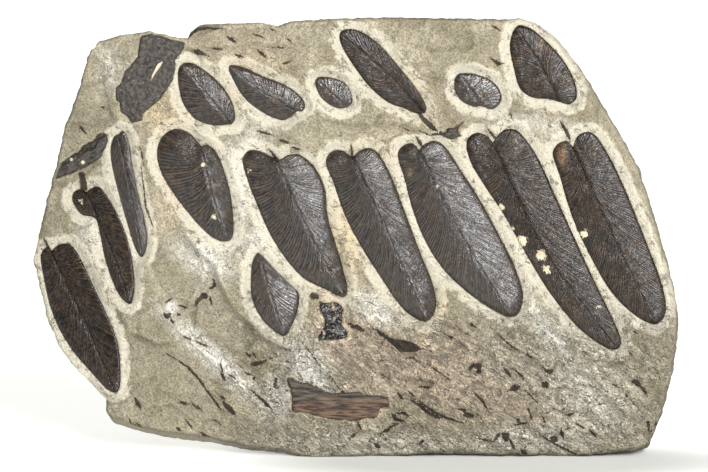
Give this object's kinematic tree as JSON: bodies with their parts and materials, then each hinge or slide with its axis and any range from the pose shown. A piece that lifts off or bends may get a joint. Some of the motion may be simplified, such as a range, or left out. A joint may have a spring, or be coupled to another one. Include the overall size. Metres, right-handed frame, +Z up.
{
  "type": "fossil neuropteris fern plate",
  "caption": "Standing slab of grey-beige mudstone with dark, glossy fossil seed-fern leaflets lying in cleaned hollows across its leaning front face.",
  "frame": {"origin": "on the floor, at the middle of the plate's bounding box", "axes": "+X to the right as seen from the front, along the plate's length; +Y from the fossil face to the back; +Z up"},
  "size_m": [0.162, 0.0443, 0.1092],
  "materials": {
    "mudstone": "matt, broken and scraped",
    "coal_film": "semi-gloss, finely veined",
    "dull_coal": "dull, cracked",
    "fossil_wood": "matt, fibrous"
  },
  "bodies": {
    "root": {"stone": "mudstone", "leaf_fragment": "dull_coal", "twig": "dull_coal", "bud": "dull_coal", "coal_patch": "coal_film", "wood_fragment": "fossil_wood", "leaflet_middle_1": "coal_film", "leaflet_middle_2": "coal_film", "leaflet_middle_3": "coal_film", "leaflet_middle_4": "coal_film", "leaflet_middle_5": "coal_film", "leaflet_middle_6": "coal_film", "leaflet_upper_1": "coal_film", "leaflet_upper_2": "coal_film", "leaflet_upper_3": "coal_film", "leaflet_upper_4": "coal_film", "leaflet_upper_5": "coal_film", "leaflet_upper_6": "coal_film", "leaflet_left_large": "coal_film", "leaflet_left_middle": "coal_film", "leaflet_left_narrow": "coal_film", "leaflet_centre_small": "coal_film"}
  },
  "joints": []
}
